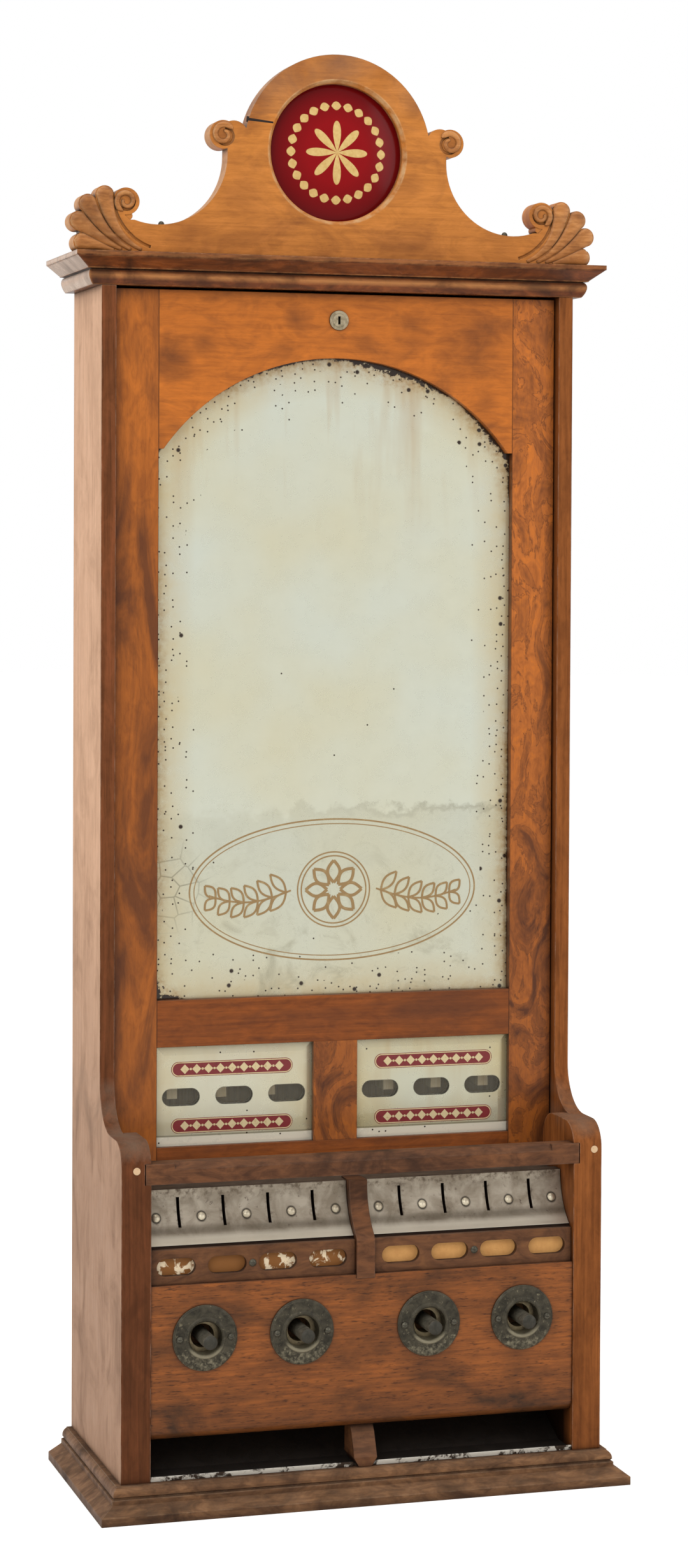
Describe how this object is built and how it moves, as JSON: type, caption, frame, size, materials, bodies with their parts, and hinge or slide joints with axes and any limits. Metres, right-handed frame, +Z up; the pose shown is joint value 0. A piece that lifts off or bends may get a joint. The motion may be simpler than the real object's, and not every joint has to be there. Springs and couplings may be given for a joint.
{
  "type": "gum vending machine",
  "caption": "Tall wooden coin vending machine with a tilting arched mirror door, carved crest, slotted coin plates, spring-loaded push rods and a delivery tray.",
  "frame": {"origin": "on the table under the middle of the overall box", "axes": "+X to the right seen from the front, +Y to the back, +Z up"},
  "size_m": [0.355, 0.161, 0.922],
  "materials": {
    "dark_wood": "aged varnish",
    "door_wood": "aged varnish",
    "crest_wood": "aged varnish",
    "side_wood": "aged varnish",
    "raw_wood": "bare",
    "panel_wood": "aged varnish",
    "maroon_glass": "back painted, glossy",
    "mirror": "old silvering",
    "pane_glass": "silvered and bevelled",
    "brass": "tarnished",
    "tin": "dull tin plate with rust specks",
    "patina": "dark green-grey patina",
    "steel": "dull",
    "card": "yellowed"
  },
  "bodies": {
    "case": {"plinth": "dark_wood", "cornice": "dark_wood", "front_rail": "dark_wood", "centre_divider": "dark_wood", "left_label_strip": "dark_wood", "right_label_strip": "dark_wood", "delivery_block": "dark_wood", "left_side": "side_wood", "right_side": "side_wood", "crest": "crest_wood", "rod_panel": "panel_wood", "back_board": "raw_wood", "medallion_back": "raw_wood", "ledge": "raw_wood", "left_coin_block": "raw_wood", "right_coin_block": "raw_wood", "cash_shelf": "raw_wood", "front_guide": "raw_wood", "rear_guide": "raw_wood", "column_floor": "raw_wood", "partitions": "raw_wood", "medallion": "maroon_glass", "left_coin_plate": "tin", "right_coin_plate": "tin", "coin_chutes": "tin", "cash_box": "tin", "packet_chute": "tin", "rosettes": "patina", "rod_sleeves": "patina", "round_screws": "patina", "lock_keeper": "steel", "plate_nails": "steel", "rod_spring_1": "steel", "rod_spring_2": "steel", "rod_spring_3": "steel", "rod_spring_4": "steel", "label_cards": "card"},
    "door": {"left_stile": "door_wood", "right_stile": "door_wood", "top_rail": "door_wood", "mid_rail": "door_wood", "bottom_rail": "door_wood", "mullion": "door_wood", "door_pivots": "steel", "mirror_glass": "mirror", "mirror_back": "raw_wood", "left_pane": "pane_glass", "right_pane": "pane_glass", "pane_backs": "raw_wood", "lock_barrel": "brass"},
    "lock": {"lock_plug": "brass", "lock_cam": "steel"},
    "rod_1": {"push_rod_1": "steel", "pusher_1": "brass"},
    "rod_2": {"push_rod_2": "steel", "pusher_2": "brass"},
    "rod_3": {"push_rod_3": "steel", "pusher_3": "brass"},
    "rod_4": {"push_rod_4": "steel", "pusher_4": "brass"}
  },
  "joints": [
    {"name": "door_tilt", "type": "hinge", "parent": "case", "child": "door", "pos_m": [0, 0.0103, 0.209], "axis": [1, 0, 0], "range_deg": [0, 35]},
    {"name": "lock_turn", "type": "hinge", "parent": "door", "child": "lock", "pos_m": [0, 0.0053, 0.75], "axis": [0, 1, 0], "range_deg": [0, 90]},
    {"name": "rod_1_push", "type": "slide", "parent": "case", "child": "rod_1", "axis": [0, 1, 0], "range_m": [0, 0.022], "stiffness_N_per_m": 300, "springref_m": -0.004, "deforming": ["rod_spring_1"]},
    {"name": "rod_2_push", "type": "slide", "parent": "case", "child": "rod_2", "axis": [0, 1, 0], "range_m": [0, 0.022], "stiffness_N_per_m": 300, "springref_m": -0.004, "deforming": ["rod_spring_2"]},
    {"name": "rod_3_push", "type": "slide", "parent": "case", "child": "rod_3", "axis": [0, 1, 0], "range_m": [0, 0.022], "stiffness_N_per_m": 300, "springref_m": -0.004, "deforming": ["rod_spring_3"]},
    {"name": "rod_4_push", "type": "slide", "parent": "case", "child": "rod_4", "axis": [0, 1, 0], "range_m": [0, 0.022], "stiffness_N_per_m": 300, "springref_m": -0.004, "deforming": ["rod_spring_4"]}
  ]
}
